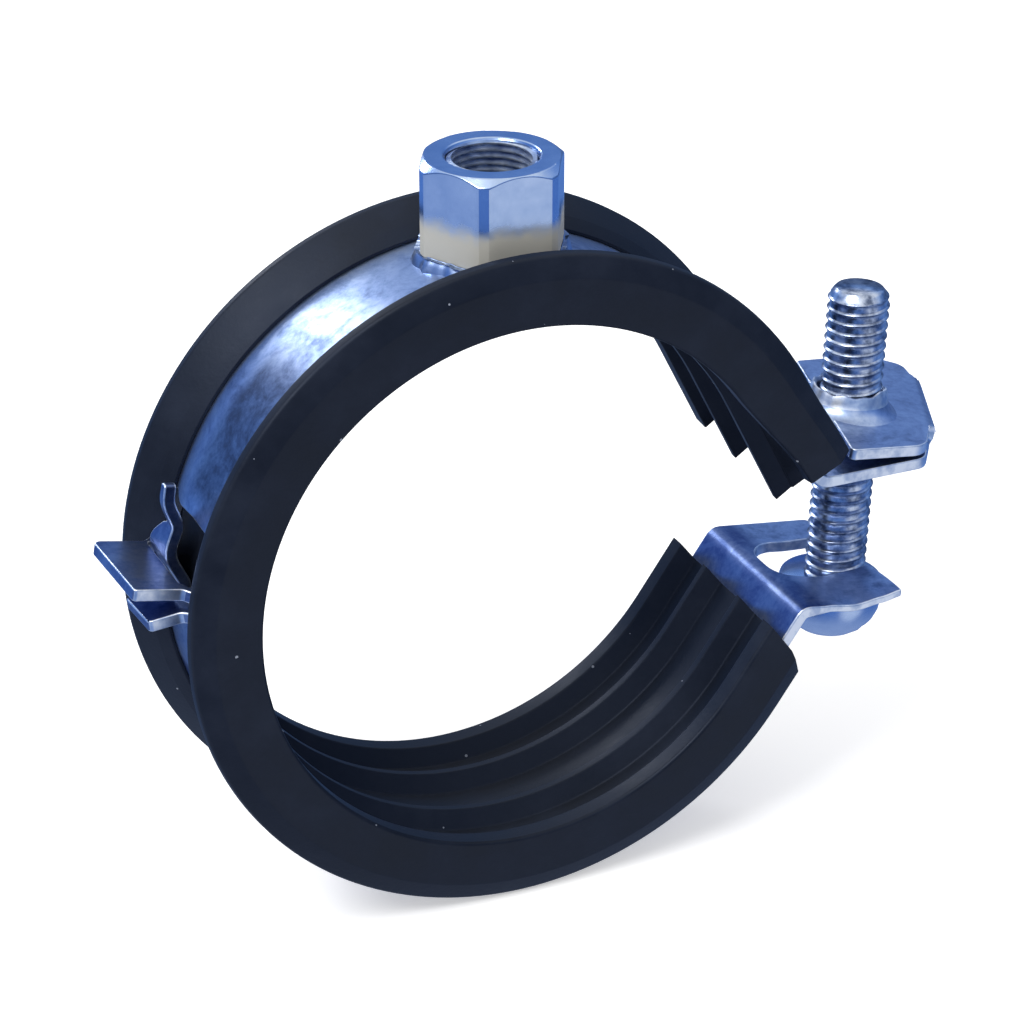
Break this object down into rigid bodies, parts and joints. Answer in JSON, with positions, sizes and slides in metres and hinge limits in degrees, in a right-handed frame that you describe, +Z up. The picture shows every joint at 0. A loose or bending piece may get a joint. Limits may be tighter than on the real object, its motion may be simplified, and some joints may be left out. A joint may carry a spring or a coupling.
{
  "type": "rubber lined pipe clamp",
  "caption": "Hinged steel pipe clamp with a rubber lining, a closing screw through its ears and a threaded hexagonal boss for a hanger rod.",
  "frame": {"origin": "on the pipe axis, in the middle of the lining's width", "axes": "+Y along the pipe, +Z up through the threaded boss, +X towards the closing screw"},
  "size_m": [0.0825, 0.0204, 0.0686],
  "materials": {
    "zinc_plated_strip": "bright blue zinc plating",
    "zinc_plated_fittings": "bright zinc plating",
    "black_rubber": "satin extruded rubber"
  },
  "bodies": {
    "upper_half": {"upper_half_ring": "zinc_plated_strip", "threaded_boss": "zinc_plated_fittings", "rubber_lining": "black_rubber"},
    "lower_half": {"lower_half_ring": "zinc_plated_strip"},
    "screw": {"closing_screw": "zinc_plated_fittings"}
  },
  "joints": [
    {"name": "lower_half_swing", "type": "hinge", "parent": "upper_half", "child": "lower_half", "pos_m": [-0.0299, 0, 0.0043], "axis": [0, 1, 0], "range_deg": [-8, 8], "deforming": ["rubber_lining"]},
    {"name": "screw_feed", "type": "slide", "parent": "upper_half", "child": "screw", "axis": [0.0462, 0, 0.9989], "range_m": [-0.0098, 0.0098]}
  ],
  "couplings": [
    {"joint": "screw_feed", "follows": "lower_half_swing", "m_per_rad": -0.067}
  ]
}
